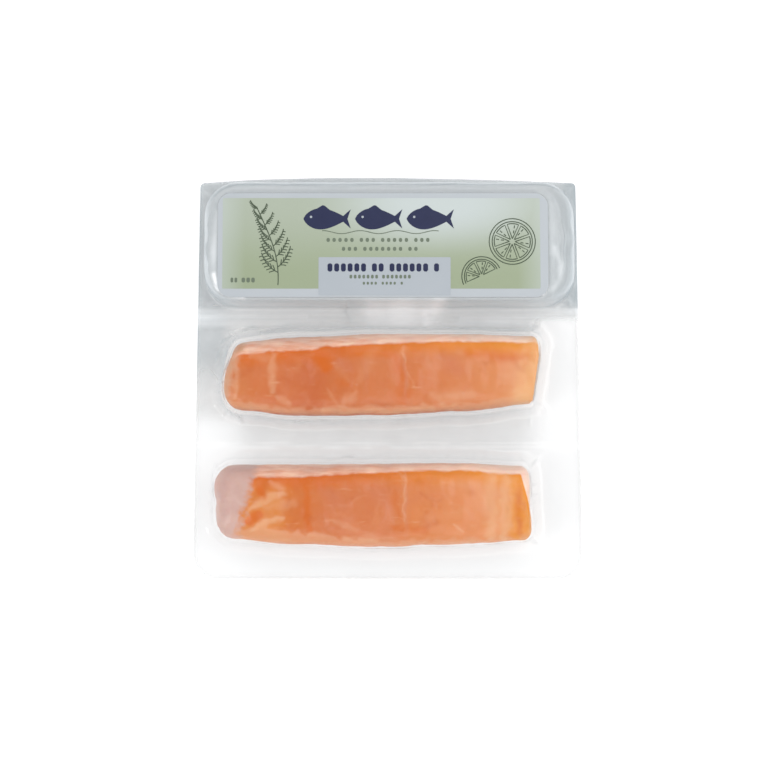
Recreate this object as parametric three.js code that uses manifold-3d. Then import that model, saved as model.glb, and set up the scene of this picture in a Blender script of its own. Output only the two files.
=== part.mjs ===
// Frozen salmon loins in a clear thermoformed strip of three compartments.
// Millimetres. +Z points up from the flat back film, +Y towards the labelled end of the strip,
// and the origin is the middle of the strip's underside.
// The first compartment is shut under its label. In the other two the film is drawn down round
// a loin, so the formed film is a flange with a skirt that hugs the foot of each loin.

import * as THREE from 'three';
import { mergeVertices } from 'three/addons/utils/BufferGeometryUtils.js';
import Module from 'manifold-3d';

const wasm = await Module();
wasm.setup();

// The strip: three compartments, one pitch apart, with the labelled one at +Y.
const pitch = 60;
const endMargin = 33.9;
const widthAtLabel = 177;
const widthAtFoot = 180;
const labelEndBow = 2.4;
const labelEndPeak = -30;
const labelEndCorner = 2.5;
const footCorner = 12;

// The two films, and the clearance that pieces in contact keep from each other.
const backThickness = 0.6;
const touchGap = 0.3;
const webThickness = 0.6;
const webBottom = backThickness + touchGap;
const webTop = webBottom + webThickness;

// Tear lines between compartments: shallow V grooves, each a set distance before its compartment.
const tearLineOffset = 32;
const tearLineWidth = 0.9;
const tearLineDepth = 0.35;

// The shut compartment: outline where it leaves the flange, and outline of its flat top.
const compartmentBase = { left: -85.6, right: 87.2, near: 32.2, far: 90, corner: 16 };
const compartmentTop = { left: -78.5, right: 74, near: 33.8, far: 84.4, corner: 9 };
const compartmentHeight = 20;
const compartmentSteps = 8;
const compartmentRoundness = 2.4;

// The label on the shut compartment.
const labelOutline = { left: -77.5, right: 72.8, near: 34.6, far: 82.3, corner: 6 };
const labelThickness = 0.4;

// The loins. Each edge has five values, evenly spaced from the left end to the right end:
// distance of the skin-side foot and of the near foot from the compartment's middle line,
// how far the skin side leans in on its way up, and the height of the flesh.
const loinBottom = webBottom;
const loins = [
  {
    name: 'salmon_loin_1',
    middle: 0,
    left: -75.8,
    right: 70.2,
    far: [15.8, 19.2, 20, 19.6, 18.8],
    near: [-16, -19, -18.8, -16.9, -13.2],
    lean: [5, 6.6, 4.4, 3.2, 3],
    top: [22.5, 25.2, 26, 25, 21.5],
    leftRound: 8,
    rightRound: 4,
    leftDrawIn: { near: 0, far: 2.4 },
    rightDrawIn: { near: 4.5, far: 0 },
    seed: 1.3,
  },
  {
    name: 'salmon_loin_2',
    middle: -pitch,
    left: -79.4,
    right: 65.4,
    far: [20, 20.2, 20.1, 20, 19],
    near: [-14.4, -17.2, -18.4, -17.3, -15.4],
    lean: [5, 5.8, 3.2, 1.4, 2.8],
    top: [21.5, 24.6, 25.8, 25.4, 23],
    leftRound: 9,
    rightRound: 4.5,
    leftDrawIn: { near: 0.8, far: 0 },
    rightDrawIn: { near: 0, far: 1.2 },
    seed: 4.1,
  },
];
const loinSquareness = 3.6;
const loinSectionPoints = 32;
const sectionSamples = 96;
const loinBodyRings = 38;
const loinEndRings = 4;

// Unevenness of the flesh: slow swells, and shallow grooves between the flakes of muscle.
// A phase is a multiple of the loin's own seed.
const swells = [
  { height: 0.5, length: 41, skew: 1.7, phase: 1 },
  { height: 0.35, length: 17.5, skew: -2.1, phase: 2 },
];
const flakes = { spacing: 11.5, depth: 0.55, slant: 0.45, wander: 0.35, wanderLength: 57, sharpness: 4 };
const reliefFadeIn = [0.2, 0.9];
const endRaggedness = 0.7;
const endFaceShare = 0.45;
const endFaceBulge = 0.5;

// The film skirt round each loin: how far its foot and its rim stand off the loin, and its height.
const skirtFoot = 6.5;
const skirtRim = 1.3;
const skirtHeight = 9;
const skirtSteps = 4;
const loinClearance = 0.6;
const pleats = { depth: 0.55, waves: [3, 7] };

const cornerSteps = 8;
const tau = 2 * Math.PI;
const quarter = Math.PI / 2;

// A closed surface through rings of equal length, each counter-clockwise about the way they run.
function loft(rings) {
  const count = rings[0].length;
  const points = rings.flat();
  const faces = [];
  for (let row = 0; row + 1 < rings.length; row++) {
    for (let i = 0; i < count; i++) {
      const a = row * count + i;
      const b = row * count + (i + 1) % count;
      faces.push(a, b, b + count, a, b + count, a + count);
    }
  }
  const first = points.push(middleOf(rings[0])) - 1;
  const last = points.push(middleOf(rings.at(-1))) - 1;
  const lastRow = (rings.length - 1) * count;
  for (let i = 0; i < count; i++) {
    const j = (i + 1) % count;
    faces.push(first, j, i);
    faces.push(last, lastRow + i, lastRow + j);
  }
  const geometry = new THREE.BufferGeometry().setFromPoints(points);
  geometry.setIndex(faces);
  return geometry;
}

function middleOf(ring) {
  const sum = new THREE.Vector3();
  for (const point of ring) {
    sum.add(point);
  }
  return sum.divideScalar(ring.length);
}

// A mesh as a solid that can be joined and cut.
function solidOf(geometry) {
  const bare = geometry.clone();
  bare.deleteAttribute('normal');
  bare.deleteAttribute('uv');
  const merged = mergeVertices(bare, 1e-4);
  const mesh = new wasm.Mesh({
    numProp: 3,
    vertProperties: Float32Array.from(merged.attributes.position.array),
    triVerts: Uint32Array.from(merged.index.array),
  });
  return new wasm.Manifold(mesh);
}

function geometryOf(solid) {
  const mesh = solid.getMesh();
  const geometry = new THREE.BufferGeometry();
  geometry.setAttribute('position', new THREE.BufferAttribute(mesh.vertProperties, mesh.numProp));
  geometry.setIndex(new THREE.BufferAttribute(mesh.triVerts, 1));
  return geometry;
}

// A smooth value along evenly spaced stations, for u from 0 to 1.
function along(values, u) {
  const place = THREE.MathUtils.clamp(u, 0, 1) * (values.length - 1);
  const i = Math.min(Math.floor(place), values.length - 2);
  return THREE.MathUtils.lerp(values[i], values[i + 1], THREE.MathUtils.smoothstep(place - i, 0, 1));
}

// The strip's outline: a little narrower at the labelled end, which bows outwards, most towards the left.
function stripShape() {
  const end = pitch + endMargin;
  const half = widthAtLabel / 2;
  const foot = widthAtFoot / 2;
  const shape = new THREE.Shape();
  shape.moveTo(-foot + footCorner, -end);
  shape.lineTo(foot - footCorner, -end);
  shape.absarc(foot - footCorner, -end + footCorner, footCorner, -quarter, 0, false);
  shape.lineTo(half, end - labelEndBow - labelEndCorner);
  shape.quadraticCurveTo(half, end - labelEndBow, half - labelEndCorner, end - labelEndBow);
  shape.quadraticCurveTo(labelEndPeak, end + labelEndBow, labelEndCorner - half, end - labelEndBow);
  shape.quadraticCurveTo(-half, end - labelEndBow, -half, end - labelEndBow - labelEndCorner);
  shape.lineTo(-foot, -end + footCorner);
  shape.absarc(-foot + footCorner, -end + footCorner, footCorner, Math.PI, 3 * quarter, false);
  return shape;
}

function stripSheet(bottom, thickness) {
  const sheet = new THREE.ExtrudeGeometry(stripShape(), {
    depth: thickness,
    bevelEnabled: false,
    curveSegments: cornerSteps,
  });
  return sheet.translate(0, 0, bottom);
}

// A rectangle with round corners as a ring at height z, counter-clockwise from its near right corner.
function roundedRing({ left, right, near, far, corner }, z) {
  const centres = [
    [right - corner, near + corner],
    [right - corner, far - corner],
    [left + corner, far - corner],
    [left + corner, near + corner],
  ];
  const ring = [];
  centres.forEach(([x, y], side) => {
    for (let i = 0; i <= cornerSteps; i++) {
      const angle = (side - 1 + i / cornerSteps) * quarter;
      ring.push(new THREE.Vector3(x + corner * Math.cos(angle), y + corner * Math.sin(angle), z));
    }
  });
  return ring;
}

function blendOutlines(a, b, share) {
  const mixed = {};
  for (const key of Object.keys(a)) {
    mixed[key] = THREE.MathUtils.lerp(a[key], b[key], share);
  }
  return mixed;
}

// The shut compartment: steep at the flange, rounding over into its flat top.
function compartment() {
  const rings = [];
  const rise = compartmentHeight - webBottom;
  const power = 2 / compartmentRoundness;
  for (let step = 0; step <= compartmentSteps; step++) {
    const turn = quarter * step / compartmentSteps;
    const inset = 1 - Math.max(Math.cos(turn), 0) ** power;
    const z = webBottom + rise * Math.sin(turn) ** power;
    rings.push(roundedRing(blendOutlines(compartmentBase, compartmentTop, inset), z));
  }
  return loft(rings);
}

function tearLine(y) {
  const side = tearLineWidth / Math.SQRT2;
  const groove = new THREE.BoxGeometry(2 * widthAtFoot, side, side);
  groove.rotateX(Math.PI / 4);
  return groove.translate(0, y, webTop - tearLineDepth + tearLineWidth / 2);
}

// Where the cross-sections of a loin stand along X. In the rounded ends, turn is the angle that
// the surface has turned through and inset is how far the section has drawn in.
function stationsOf(loin) {
  const stations = [];
  for (let i = loinEndRings; i > 0; i--) {
    stations.push(endStation(loin.left, loin.leftRound, -quarter * i / loinEndRings));
  }
  const start = loin.left + loin.leftRound;
  const stop = loin.right - loin.rightRound;
  for (let i = 0; i <= loinBodyRings; i++) {
    stations.push({ x: THREE.MathUtils.lerp(start, stop, i / loinBodyRings), turn: 0, inset: 0 });
  }
  for (let i = 1; i <= loinEndRings; i++) {
    stations.push(endStation(loin.right, loin.rightRound, quarter * i / loinEndRings));
  }
  return stations;
}

function endStation(end, round, turn) {
  const inner = end - Math.sign(turn) * round;
  return { x: inner + round * Math.sin(turn), turn, inset: round * (1 - Math.cos(turn)) };
}

function limitsAt(loin, station, grow) {
  const u = (station.x - loin.left) / (loin.right - loin.left);
  const shrink = station.inset - grow * Math.cos(station.turn);
  return {
    far: loin.middle + along(loin.far, u) - shrink,
    near: loin.middle + along(loin.near, u) + shrink,
    top: along(loin.top, u) - shrink,
    bottom: loinBottom + shrink,
    lean: along(loin.lean, u),
  };
}

// How far an end slants: its near or far corner is cut shorter than the other.
function drawIn(loin, station, across) {
  const { near, far } = station.turn < 0 ? loin.leftDrawIn : loin.rightDrawIn;
  const amount = THREE.MathUtils.lerp(near, far, (across + 1) / 2);
  return -amount * Math.sin(station.turn);
}

// Height of the uneven flesh over the smooth form at one place on top of a loin.
function fleshRelief(loin, x, across) {
  let height = 0;
  for (const swell of swells) {
    height += swell.height * Math.sin(tau * x / swell.length + swell.skew * across + swell.phase * loin.seed);
  }
  const wander = flakes.wander * Math.sin(tau * x / flakes.wanderLength + loin.seed);
  const flake = x / flakes.spacing + flakes.slant * Math.abs(across) + wander;
  const groove = (0.5 + 0.5 * Math.cos(tau * flake)) ** flakes.sharpness;
  return height - flakes.depth * groove;
}

// One cross-section: a squarish oval on a flat foot, leaning in at the skin side.
function loinSection(loin, station) {
  const { far, near, top, bottom, lean } = limitsAt(loin, station, 0);
  const middle = (far + near) / 2;
  const halfWidth = (far - near) / 2;
  const power = 2 / loinSquareness;
  const outline = [];
  for (let i = 0; i < sectionSamples; i++) {
    const angle = tau * i / sectionSamples - quarter;
    const across = Math.sign(Math.cos(angle)) * Math.abs(Math.cos(angle)) ** power;
    const up = Math.sign(Math.sin(angle)) * Math.abs(Math.sin(angle)) ** power;
    const height = (up + 1) / 2;
    const y = middle + halfWidth * across - lean * Math.max(across, 0) * height ** 1.5;
    const onTop = THREE.MathUtils.smoothstep(up, ...reliefFadeIn) * Math.cos(station.turn);
    const z = THREE.MathUtils.lerp(bottom, top, height) + onTop * fleshRelief(loin, station.x, across);
    const ragged = endRaggedness * (1 + Math.sin(2 * angle + loin.seed)) * Math.sin(station.turn);
    outline.push(new THREE.Vector3(station.x + drawIn(loin, station, across) - ragged, y, z));
  }
  const curve = new THREE.CatmullRomCurve3(outline, true);
  curve.arcLengthDivisions = 4 * sectionSamples;
  return curve.getSpacedPoints(loinSectionPoints).slice(0, loinSectionPoints);
}

// A ring inside another, drawn in towards its middle and pushed along X, for a softly bulging end face.
function innerRing(ring, push) {
  const centre = middleOf(ring);
  return ring.map((point) => point.clone().lerp(centre, endFaceShare).add(new THREE.Vector3(push, 0, 0)));
}

function loinGeometry(loin) {
  const rings = stationsOf(loin).map((station) => loinSection(loin, station));
  return loft([innerRing(rings[0], -endFaceBulge), ...rings, innerRing(rings.at(-1), endFaceBulge)]);
}

// The loin's outline seen from above, standing off by a distance, as a ring at height z.
function planRing(loin, z, standOffAt) {
  const stations = stationsOf(loin);
  const nearSide = [];
  const farSide = [];
  stations.forEach((station, i) => {
    const off = standOffAt(i / (stations.length - 1));
    const { far, near } = limitsAt(loin, station, off);
    const x = station.x + off * Math.sin(station.turn);
    nearSide.push(new THREE.Vector3(x + drawIn(loin, station, -1), near, z));
    farSide.unshift(new THREE.Vector3(x + drawIn(loin, station, 1), far, z));
  });
  return [...nearSide, ...farSide];
}

// The film drawn down round a loin, concave and slightly pleated, before the loin's place is cut.
function skirt(loin) {
  const rings = [];
  for (let step = 0; step <= skirtSteps; step++) {
    const climb = step / skirtSteps;
    const spread = (1 - climb) ** 2;
    const z = THREE.MathUtils.lerp(webBottom, skirtHeight, climb);
    const standOff = (u) => {
      const [slow, quick] = pleats.waves.map((waves) => Math.sin(tau * waves * u + loin.seed));
      return THREE.MathUtils.lerp(skirtRim, skirtFoot, spread) + pleats.depth * spread * slow * quick;
    };
    rings.push(planRing(loin, z, standOff));
  }
  return loft(rings);
}

function loinPlace(loin) {
  const standOff = () => loinClearance;
  return loft([planRing(loin, 0, standOff), planRing(loin, 2 * skirtHeight, standOff)]);
}

function formedFilm() {
  let film = solidOf(stripSheet(webBottom, webThickness)).add(solidOf(compartment()));
  for (const loin of loins) {
    film = film.add(solidOf(skirt(loin)));
    film = film.subtract(solidOf(loinPlace(loin)));
    film = film.subtract(solidOf(tearLine(loin.middle + pitch - tearLineOffset)));
  }
  return geometryOf(film);
}

function label() {
  const bottom = compartmentHeight + touchGap;
  return loft([roundedRing(labelOutline, bottom), roundedRing(labelOutline, bottom + labelThickness)]);
}

const clearFilm = new THREE.MeshStandardMaterial({ color: 0xc3cacd, roughness: 0.2, metalness: 0 });
const backingFilm = new THREE.MeshStandardMaterial({ color: 0xd5d8d8, roughness: 0.3, metalness: 0 });
const salmonFlesh = new THREE.MeshStandardMaterial({ color: 0xdd824f, roughness: 0.45, metalness: 0 });
const printedPaper = new THREE.MeshStandardMaterial({ color: 0xb4bea8, roughness: 0.4, metalness: 0 });

function named(name, geometry, material) {
  const mesh = new THREE.Mesh(geometry, material);
  mesh.name = name;
  return mesh;
}

const pack = new THREE.Group();
pack.add(named('back_film', stripSheet(0, backThickness), backingFilm));
pack.add(named('formed_film', formedFilm(), clearFilm));
pack.add(named('label', label(), printedPaper));
for (const loin of loins) {
  pack.add(named(loin.name, loinGeometry(loin), salmonFlesh));
}

export default pack;
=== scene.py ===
"""The looks of a strip of frozen salmon loins.

Clear drawn film lies over two loins and over a shut compartment with a paper label, on a flat backing film.
"""
import functools
import math

import bpy
import numpy as np
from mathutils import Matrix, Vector, kdtree, noise


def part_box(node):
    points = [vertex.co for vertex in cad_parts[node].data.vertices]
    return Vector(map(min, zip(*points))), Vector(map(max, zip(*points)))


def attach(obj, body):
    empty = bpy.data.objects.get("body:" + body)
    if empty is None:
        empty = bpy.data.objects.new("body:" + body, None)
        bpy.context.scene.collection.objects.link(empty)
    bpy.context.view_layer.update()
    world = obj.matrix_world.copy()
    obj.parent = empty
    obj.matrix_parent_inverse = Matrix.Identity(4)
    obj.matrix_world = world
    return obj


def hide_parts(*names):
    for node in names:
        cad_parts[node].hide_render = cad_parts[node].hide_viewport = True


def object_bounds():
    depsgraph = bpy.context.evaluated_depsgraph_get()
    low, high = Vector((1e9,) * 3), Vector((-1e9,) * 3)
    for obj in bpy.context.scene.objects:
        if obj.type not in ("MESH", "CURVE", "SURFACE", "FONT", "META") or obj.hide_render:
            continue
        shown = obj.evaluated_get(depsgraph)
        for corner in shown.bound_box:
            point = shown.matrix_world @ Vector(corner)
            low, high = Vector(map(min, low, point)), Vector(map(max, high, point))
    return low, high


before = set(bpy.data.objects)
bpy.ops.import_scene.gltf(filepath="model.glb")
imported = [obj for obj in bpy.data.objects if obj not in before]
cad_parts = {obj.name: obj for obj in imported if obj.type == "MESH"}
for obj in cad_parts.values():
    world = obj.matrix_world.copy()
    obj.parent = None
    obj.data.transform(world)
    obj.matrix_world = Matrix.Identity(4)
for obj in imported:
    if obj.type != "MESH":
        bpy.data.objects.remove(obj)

MM = 0.001
CAD_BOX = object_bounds()

# Places read from the frame, in metres.
BACK_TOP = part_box("back_film")[1].z
LABEL_LOW, LABEL_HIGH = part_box("label")
LOIN_NAMES = ("salmon_loin_1", "salmon_loin_2")

# The pack's own levels, in metres.
FLANGE_TOP = 1.5 * MM
POCKET_TOP = 20 * MM

# The photograph's view: nearly straight down, the strip a little above and to the right of the middle.
VIEW_ELEVATION = 86
VIEW_DISTANCE = 0.580
VIEW_TARGET = (-1.4 * MM, -4.0 * MM, 0)
LENS_MM = 57.94
SENSOR_MM = 36


# ---------------------------------------------------------------- shaping by hand

def only(*objects):
    """Selects these objects alone, the first of them active, and leaves edit mode."""
    if bpy.context.mode != "OBJECT":
        bpy.ops.object.mode_set(mode="OBJECT")
    bpy.ops.object.select_all(action="DESELECT")
    for item in objects:
        item.select_set(True)
    bpy.context.view_layer.objects.active = objects[0]
    return objects[0]


def edit(item):
    """Opens a mesh for editing with all of it selected."""
    only(item)
    bpy.ops.object.mode_set(mode="EDIT")
    bpy.ops.mesh.select_all(action="SELECT")


def settle(item, name):
    """Leaves edit mode, puts the piece's place into its mesh and names it."""
    only(item)
    bpy.ops.object.transform_apply(location=True, rotation=True, scale=True)
    item.name = name
    item.data.name = name
    return item


def modify(item, kind, **settings):
    """Adds a modifier with its settings and applies it."""
    only(item)
    modifier = item.modifiers.new(kind.lower(), kind)
    for key, value in settings.items():
        setattr(modifier, key, value)
    bpy.ops.object.modifier_apply(modifier=modifier.name)
    return item


def copy_of_node(node, name):
    """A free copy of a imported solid, its loose triangles merged into one skin."""
    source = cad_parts[node]
    item = source.copy()
    item.data = source.data.copy()
    item.parent = None
    for key in [key for key in item.keys() if key.startswith("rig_")]:
        del item[key]
    bpy.context.scene.collection.objects.link(item)
    item.name = name
    edit(item)
    bpy.ops.mesh.customdata_custom_splitnormals_clear()
    bpy.ops.mesh.remove_doubles(threshold=0.002 * MM)
    bpy.ops.mesh.normals_make_consistent(inside=False)
    return only(item)


def per_vertex(item, what):
    """Every vertex's co or normal, as rows of x, y and z."""
    flat = np.empty(3 * len(item.data.vertices))
    item.data.vertices.foreach_get(what, flat)
    return flat.reshape(-1, 3)


def move_to(item, places):
    """Puts every vertex at its new place."""
    item.data.vertices.foreach_set("co", places.ravel())
    item.data.update()


def paint(item, name, values):
    """Keeps one number per vertex for a material to read."""
    layer = item.data.attributes.new(name, "FLOAT", "POINT")
    layer.data.foreach_set("value", values.astype(np.float32))


def eased(value, low, high):
    """0 at low, 1 at high, with soft ends; low may be the larger."""
    share = np.clip((value - low) / (high - low), 0, 1)
    return share * share * (3 - 2 * share)


def near_path(x, y, path):
    """For points in millimetres: how far each is from a path, and how far along it that is, from 0 to 1."""
    runs = [np.subtract(end, start) for start, end in zip(path, path[1:])]
    lengths = [np.linalg.norm(run) for run in runs]
    nearest, along, passed = np.full(len(x), np.inf), np.zeros(len(x)), 0
    for start, run, length in zip(path, runs, lengths):
        away = np.stack([x - start[0], y - start[1]], axis=1)
        share = np.clip(away @ run / length ** 2, 0, 1)
        distance = np.linalg.norm(away - share[:, None] * run, axis=1)
        closer = distance < nearest
        nearest = np.where(closer, distance, nearest)
        along = np.where(closer, (passed + share * length) / sum(lengths), along)
        passed += length
    return nearest, along


def soft_band(x, y, path, width, ends):
    """1 in the middle of a path and softly less to its sides and ends; a larger ends leaves more there."""
    away, share = near_path(x, y, path)
    return np.exp(-(away / width) ** 2) * np.sin(math.pi * np.clip(share, ends, 1 - ends))


# ---------------------------------------------------------------- loins

LOIN_VOXEL = 0.75 * MM
# Lumps in the flesh, in millimetres: how wide, how high.
LUMPS = [(8, 0.8), (2.2, 0.22)]
# The flesh's seams, in millimetres: how far apart on the cut face and on the sides, and how deep.
FLAKE_PITCH = 6.1
CHEVRON_PITCH = 6.4
SEAM_DEPTH = 0.14
# How much lower pale streaks lie, and how far and over what length ragged edges waver, in millimetres.
STREAK_DEPTH = 0.25
RAGGED_REACH, RAGGED_LENGTH = 1.2, 3.5
# The loin's edges are looked up once in each stretch of this length, in millimetres.
EDGE_BIN = 2.5
# How far up a face looks, as its normal's Z, from where it starts to count to where it fully does.
CUT_FACE, SHOULDER = (0.5, 0.9), (0.05, 0.45)

# Streaks and patches on the cut face, in millimetres: from, to, half width, strength. The pale streaks are
# pale fat, and some are painted reflections of the film's glints.
PALE_STREAKS = {
    "salmon_loin_1": [
        ((-51.5, 8), (-52.5, -9), 2.6, 0.45), ((-69, 8), (-68.5, -11), 1.9, 0.4),
        ((-50, -11), (-44, -14), 2.2, 0.35), ((6, 13), (8, 5), 0.9, 0.4), ((8.5, 2), (12, -8), 0.6, 0.3),
        ((-6, 9), (-13, -3), 4.5, 0.25), ((20, -11), (38, -10), 4.0, 0.35),
        ((-27, -8), (-23, -14), 1.5, 0.3), ((-14, -9), (-20, -13), 2.6, 0.35),
        ((-24, 3), (-18, -3), 2.0, 0.2), ((16, 1), (26, 4), 2.4, 0.15), ((58, -8), (62, -12), 4.5, 0.5),
        ((-63, 11.5), (-52, 10.5), 2.6, 0.4), ((-61, 7.5), (-53, 6.5), 3.2, 0.35),
        ((-30, -17.2), (20, -17), 2.2, 0.45), ((-66, -15.5), (-38, -17), 2.0, 0.3)],
    "salmon_loin_2": [
        ((-62, -61.5), (-47, -54), 2.5, 0.55), ((-61, -70), (-47, -64.5), 2.2, 0.6),
        ((-53, -49.5), (-47, -52), 2.4, 0.4), ((-54, -61), (-42, -58), 3.6, 0.35),
        ((7.4, -42), (7.2, -66), 0.8, 0.4), ((3.6, -42.5), (7.4, -48), 0.8, 0.35),
        ((-24, -66), (-13, -70), 1.7, 0.3), ((29.5, -67.5), (33, -70), 0.8, 0.5),
        ((29, -49), (41, -51), 3.0, 0.25), ((46.5, -43), (46, -73), 4.4, 0.5),
        ((52.5, -44), (52, -73), 4.0, 0.5), ((-19, -74), (4, -75), 2.4, 0.35),
        ((-10, -55), (-22, -60), 1.6, 0.2), ((18, -66), (34, -61), 3.0, 0.2),
        ((43, -46.5), (57, -47.5), 2.6, 0.3)],
}
DEEP_PATCHES = {
    "salmon_loin_1": [
        ((-31, 10), (-28, 2), 5.5, 0.9), ((-22, -4), (-18, -5), 3.0, 0.35),
        ((-12, 8.5), (2, 9), 3.6, 0.6), ((10, 11), (14, 10.5), 2.6, 0.5), ((3, 9), (7, -3), 3.6, 0.5),
        ((5, -5), (7, -14), 4.8, 0.4), ((36, 9.5), (63, 7.5), 4.2, 0.7), ((-58, 6), (-61, -8), 4.0, 0.25),
        ((63.5, 11), (62, 2), 2.2, 0.4)],
    "salmon_loin_2": [
        ((-60, -46.5), (-50, -47), 1.8, 0.8), ((-58, -52), (-55.5, -55), 2.6, 0.95),
        ((-63, -67), (-57, -64), 2.4, 0.9), ((-37, -50), (-35, -71), 2.0, 0.6),
        ((3, -53), (5, -64), 2.0, 0.4), ((58.5, -45), (58.5, -72), 2.2, 0.5),
        ((2, -69), (16, -71), 3.0, 0.45), ((10, -47), (17, -49), 3.0, 0.4),
        ((-32, -47), (-24, -50), 2.2, 0.4)],
}
# Rosier, greyer patches.
ROSY_PATCHES = {
    "salmon_loin_1": [
        ((-22, 5), (-17, 2), 4.0, 0.6), ((24, 8), (32, 1), 5.5, 0.6), ((4, 7), (5, 0), 2.4, 0.5),
        ((-42, 0), (-34, -4), 5.0, 0.35)],
    "salmon_loin_2": [
        ((-30, -52), (-20, -60), 5.5, 0.5), ((-8, -50), (0, -60), 5.0, 0.5),
        ((10, -57), (24, -55), 4.5, 0.4), ((-24, -70), (-16, -64), 3.5, 0.4)],
}

# Evenly spaced from each loin's left end to its right end, in millimetres: how far its skin side reaches
# over its top, and how wide the pale band is along its near edge, painted light on the shaded near shoulder.
SKIN_REACH = {"salmon_loin_1": [3.2, 2.6, 1.6, 1.2, 1.1], "salmon_loin_2": [1.4, 1.6, 0.4, 0.3, 1.4]}
NEAR_BAND = {"salmon_loin_1": [2.6, 1.7, 1.5, 2.3, 2.6], "salmon_loin_2": [4.4, 4.6, 2.0, 1.5, 1.3]}
# How far each end's colour leans towards the near side, in millimetres of X for one of Y.
END_SLANT = {"salmon_loin_1": 0.25, "salmon_loin_2": 0.3}


def clouds_texture(size):
    """Blender's own soft clouds for a Displace modifier; size in millimetres."""
    texture = bpy.data.textures.new("clouds", "CLOUDS")
    texture.noise_scale = size * MM
    texture.noise_depth = 2
    return texture


def outermost(x, y, usable, pick):
    """The outermost y of the usable vertices along x, evened out, given back for every vertex."""
    middles, found = [], []
    for low in np.arange(x.min(), x.max(), EDGE_BIN):
        inside = usable & (x >= low) & (x < low + EDGE_BIN)
        if inside.any():
            middles.append(low + EDGE_BIN / 2)
            found.append(pick(y[inside]))
    padded = np.pad(found, 1, mode="edge")
    return np.interp(x, middles, (padded[:-2] + padded[1:-1] + padded[2:]) / 3)


def streaks(x, y, lines):
    """How strongly a vertex lies on soft, wavering lines; x and y in millimetres."""
    wave_x = x + 0.5 * np.sin(y / 3.3 + x / 9) + 0.2 * np.sin(y / 1.2)
    wave_y = y + 0.5 * np.sin(x / 3.9) + 0.2 * np.sin(x / 1.5 + y / 5)
    most = np.zeros(len(x))
    for start, end, width, strength in lines:
        away, share = near_path(wave_x, wave_y, (start, end))
        taper = 0.5 + 0.5 * np.sin(math.pi * np.clip(share, 0.08, 0.92))
        most = np.maximum(most, strength * np.exp(-(away / (width * taper)) ** 2.5))
    return most


def seam_lines(turns, sharpness):
    """1 on each seam and 0 between them, where turns counts the flakes."""
    return (0.5 + 0.5 * np.cos(2 * math.pi * turns)) ** sharpness


def loin(node):
    """One loin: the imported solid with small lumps, flakes and low pale streaks worked into its skin."""
    item = copy_of_node(node, node + "_flesh")
    modify(item, "REMESH", mode="VOXEL", voxel_size=LOIN_VOXEL)
    modify(item, "SMOOTH", factor=0.5, iterations=4)
    for width, height in LUMPS:
        modify(item, "DISPLACE", texture=clouds_texture(width), strength=height * MM, mid_level=0.6,
               texture_coords="LOCAL")
    places, facing = per_vertex(item, "co"), per_vertex(item, "normal")
    x, y, z = places.T / MM
    cut_face, shoulder = eased(facing[:, 2], *CUT_FACE), eased(facing[:, 2], *SHOULDER)
    ragged = np.array([noise.noise(Vector(place) / (RAGGED_LENGTH * MM)) for place in places])
    uneven_x, uneven_y = x + RAGGED_REACH * ragged, y - RAGGED_REACH * ragged
    pale, deep, rosy = (streaks(uneven_x, uneven_y, lines[node]) * shoulder
                        for lines in (PALE_STREAKS, DEEP_PATCHES, ROSY_PATCHES))
    flake = x / FLAKE_PITCH + np.abs(y - y.mean()) / 20 + 0.5 * np.sin(x / 11) + 0.2 * np.sin(y / 3.1)
    chevron = x / CHEVRON_PITCH + np.abs(z - 0.55 * z.max()) / 11 + 0.5 * np.sin(x / 13) + 0.3 * ragged
    places[:, 2] -= MM * cut_face * (SEAM_DEPTH * seam_lines(flake, 5) + STREAK_DEPTH * pale)
    places[:, 2] = np.maximum(places[:, 2], BACK_TOP + 0.2 * MM)
    move_to(item, places)
    on_top = (facing[:, 2] > SHOULDER[1]) & (z > z.mean())
    stations = np.linspace(x.min(), x.max(), len(SKIN_REACH[node]))
    skin_edge = outermost(x, y, on_top & (facing[:, 1] < 0.75), np.max)
    near_edge = outermost(x, y, on_top, np.min)
    band = np.interp(x, stations, NEAR_BAND[node])
    paint(item, "from_skin_edge", skin_edge - np.interp(x, stations, SKIN_REACH[node]) - y)
    # The near band is painted light on the shaded near shoulder.
    paint(item, "near_band", eased(y - near_edge + 2.2 * ragged, band + 1.8, band - 1.5) * shoulder)
    paint(item, "from_left", x - x.min())
    paint(item, "from_tip", x - x.min() - END_SLANT[node] * (y - y.mean()))
    # Seams run over the cut face as flakes and down the sides as chevrons, and show most on the sides.
    paint(item, "seam", seam_lines(np.where(shoulder > 0.5, flake, chevron), 9) * (1 - 0.8 * shoulder))
    paint(item, "pale", pale)
    paint(item, "deep", deep)
    paint(item, "rosy", rosy)
    only(item)
    bpy.ops.object.shade_smooth()
    return item


# ---------------------------------------------------------------- film

FILM_VOXEL = 0.8 * MM
FILM_OVER_LOIN = 0.9 * MM
FILM_UNDERSIDE = 0.75 * MM
# How far the film is from a loin where it has left it, and where it still lies on it, in millimetres.
LEFT_LOIN, ON_LOIN = 2.6, 1.3
# All that follows for the film is in millimetres. The strip's half width at its foot and at its labelled
# end, its foot's corners, and its tear lines with their half width and depth.
STRIP_HALF_WIDTHS = (90, 88.5)
FOOT_CORNER = 12
TEAR_LINES = (28, -32)
TEAR_HALF_WIDTH, TEAR_DEPTH = 0.6, 0.4
# Where the compartment's top is flat under the label.
UNDER_LABEL = {"left": -80, "right": 75, "near": 32.5, "far": 85, "bottom": 15}
# The film's slack: how high its swells are, and how long.
SLACK_HEIGHT, SLACK_LENGTH = 0.3, 17
# Pleats round a loin's foot: how high, how far apart, and how far inside its box their corners turn.
PLEAT_HEIGHT, PLEAT_PITCH, PLEAT_INSET = 0.5, 5.6, 7

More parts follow.
